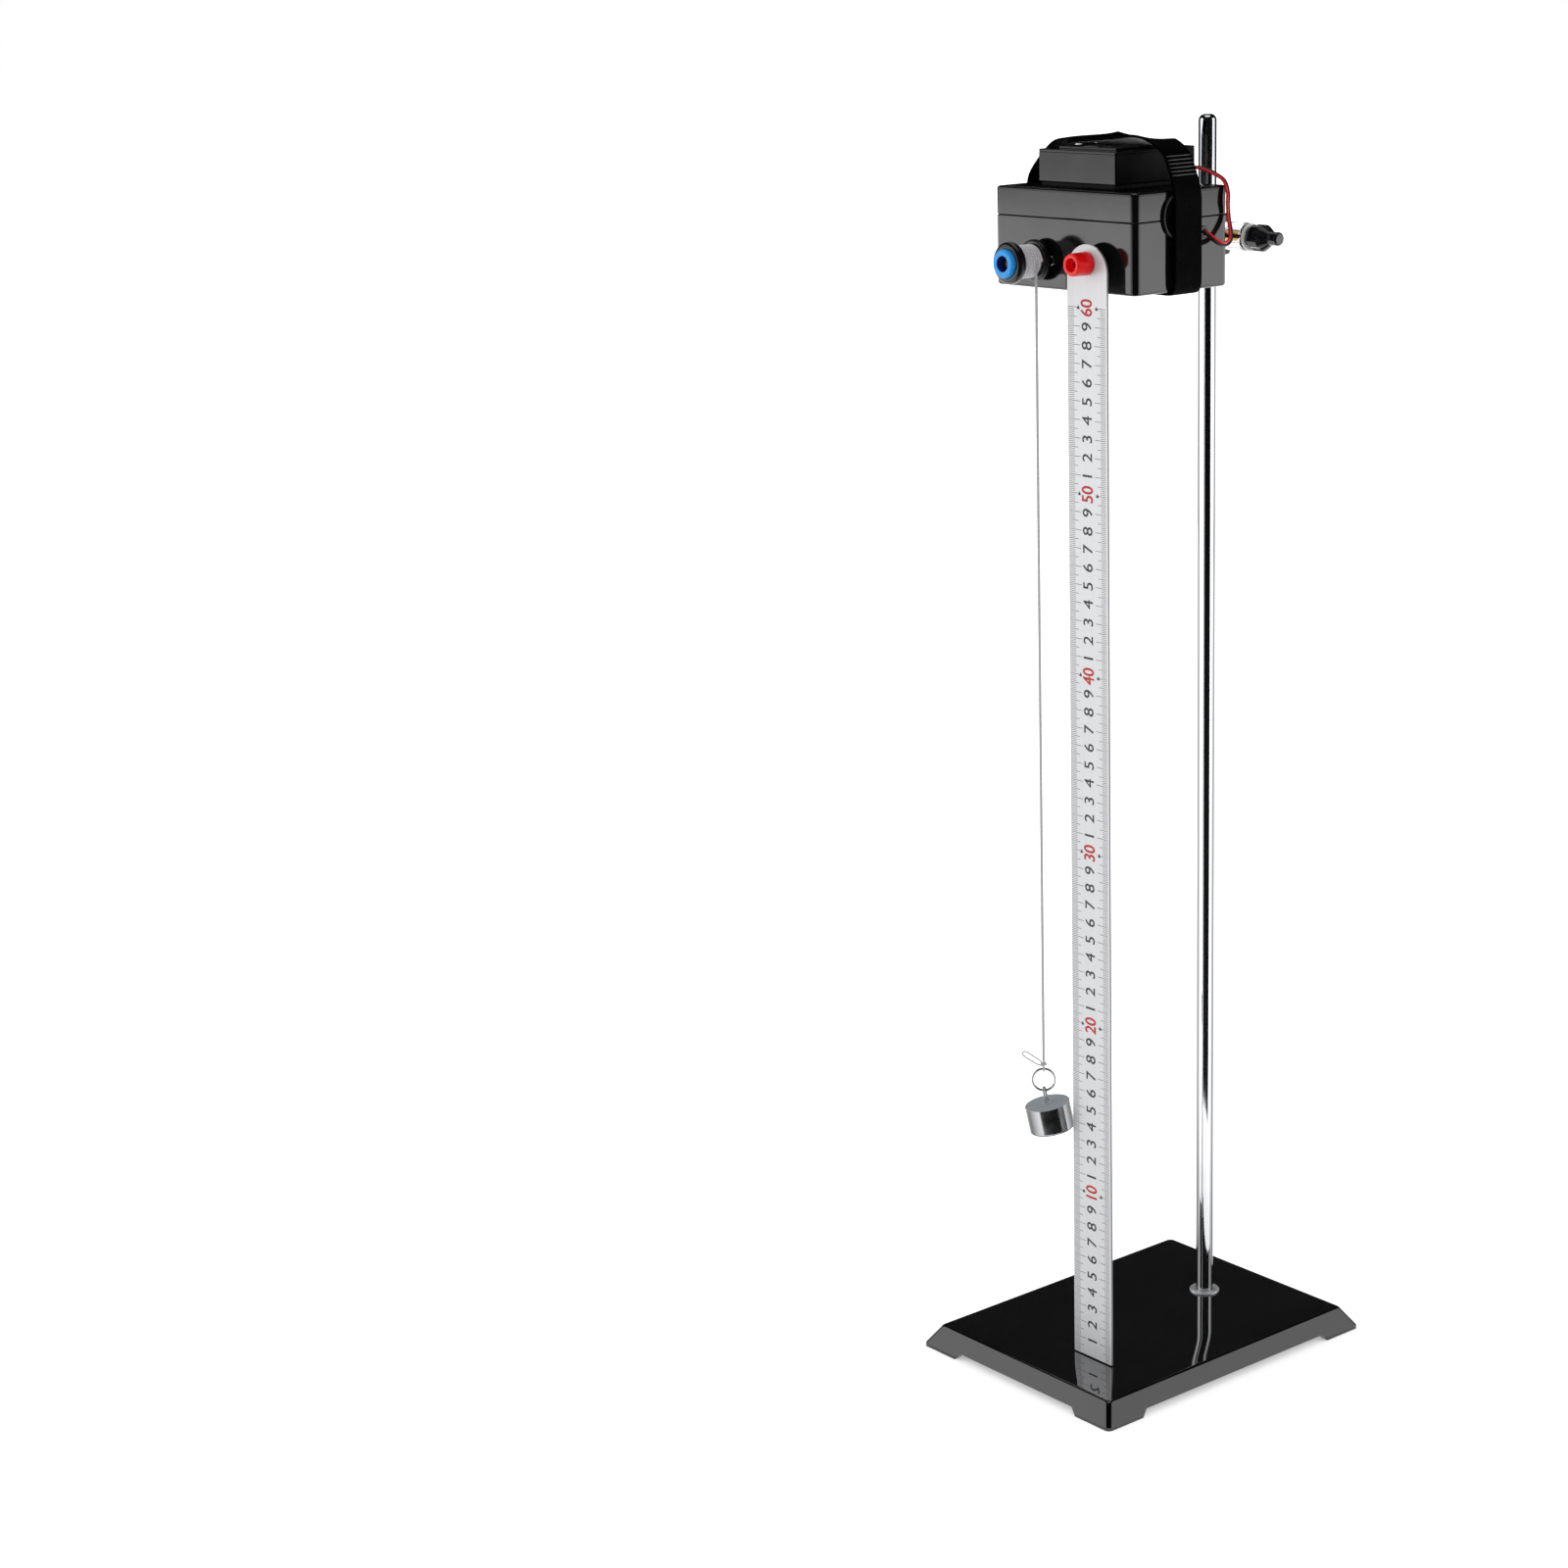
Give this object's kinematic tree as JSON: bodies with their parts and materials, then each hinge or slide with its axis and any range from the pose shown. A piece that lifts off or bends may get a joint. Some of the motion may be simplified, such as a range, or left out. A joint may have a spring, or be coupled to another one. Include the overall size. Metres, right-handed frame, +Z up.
{
  "type": "linear motion apparatus",
  "caption": "Classroom stand whose motor box, clamped to a rod, winds a string on a spool to lift a ringed weight beside a hanging graduated steel ruler.",
  "frame": {"origin": "centre of the base on the table", "axes": "+Z up along the rod, -Y towards the front where the ruler hangs, +X to the right"},
  "size_m": [0.155, 0.206, 0.709],
  "materials": {
    "black_enamel": "gloss",
    "chrome_plate": "polished",
    "steel_weight": "polished sides, dull top",
    "screw_steel": "zinc",
    "black_abs": "gloss",
    "clamp_black": "black coating",
    "gear_steel": "passivated",
    "motor_shell": "satin",
    "cream_nylon": "matte",
    "brass": "turned",
    "board_green": "solder mask",
    "relay_blue": "gloss",
    "black_pad": "matte",
    "case_plastic": "satin",
    "cell_wrap": "printed film",
    "black_webbing": "woven",
    "red_wire": "soft gloss",
    "black_wire": "soft gloss",
    "ruler_steel": "satin, printed scale",
    "red_knob": "gloss",
    "clear_acrylic": "clear",
    "white_plastic": "satin",
    "black_knob": "satin",
    "flange_rubber": "satin",
    "blue_plastic": "gloss",
    "white_string": "twisted"
  },
  "bodies": {
    "stand": {"base_plate": "black_enamel", "stand_rod": "chrome_plate", "rod_collar": "chrome_plate", "base_washer": "screw_steel", "base_nut": "screw_steel"},
    "head": {"box_body": "black_abs", "box_lid": "black_abs", "lid_screws": "screw_steel", "clamp_block": "clamp_black", "clamp_screws": "screw_steel", "gearbox": "gear_steel", "motor_can": "motor_shell", "motor_end_cap": "cream_nylon", "motor_screws": "screw_steel", "shaft_bush": "brass", "receiver_board": "board_green", "relays": "relay_blue", "terminal_block": "board_green", "board_screws": "screw_steel", "battery_pad": "black_pad", "battery_case": "case_plastic", "battery_cover": "case_plastic", "battery_cells": "cell_wrap", "battery_contacts": "screw_steel", "strap": "black_webbing", "lead_grommet": "black_pad", "lead_red": "red_wire", "lead_black": "black_wire", "aerial_wire": "black_wire", "ruler_post": "screw_steel", "post_nut": "screw_steel"},
    "ruler": {"ruler_blade": "ruler_steel"},
    "ruler_knob": {"ruler_knob": "red_knob"},
    "thumb_screw": {"thumb_stem": "brass", "thumb_washer": "black_knob", "thumb_sleeve": "clear_acrylic", "thumb_band": "white_plastic", "thumb_knob": "black_knob"},
    "spool": {"spool_shaft": "screw_steel", "spool_rear_flange": "flange_rubber", "spool_core": "white_plastic", "spool_front_flange": "flange_rubber", "spool_cap": "blue_plastic", "thread_winding": "white_string"},
    "weight": {"hang_string": "white_string", "string_knot": "white_string", "split_ring": "chrome_plate", "weight_eye": "chrome_plate", "weight_body": "steel_weight"}
  },
  "joints": [
    {"name": "head_height", "type": "slide", "parent": "stand", "child": "head", "axis": [0, 0, 1], "range_m": [0, 0.045]},
    {"name": "ruler_swing", "type": "hinge", "parent": "head", "child": "ruler", "pos_m": [0.025, -0.0633, 0.6383], "axis": [0, -1, 0], "range_deg": [0, 90]},
    {"name": "knob_turn", "type": "hinge", "parent": "head", "child": "ruler_knob", "pos_m": [0.025, -0.069, 0.6383], "axis": [0, -1, 0], "continuous": true},
    {"name": "thumb_turn", "type": "hinge", "parent": "head", "child": "thumb_screw", "pos_m": [0.02, 0.053, 0.6433], "axis": [1, 0, 0], "continuous": true},
    {"name": "weight_lift", "type": "slide", "parent": "head", "child": "weight", "axis": [0, 0, 1], "range_m": [-0.12, 0.39], "deforming": ["hang_string"]},
    {"name": "spool_turn", "type": "hinge", "parent": "head", "child": "spool", "pos_m": [-0.0173, -0.07, 0.6372], "axis": [0, -1, 0], "range_deg": [-850, 2720]}
  ],
  "couplings": [
    {"joint": "spool_turn", "follows": "weight_lift", "rad_per_m": 121.21}
  ]
}
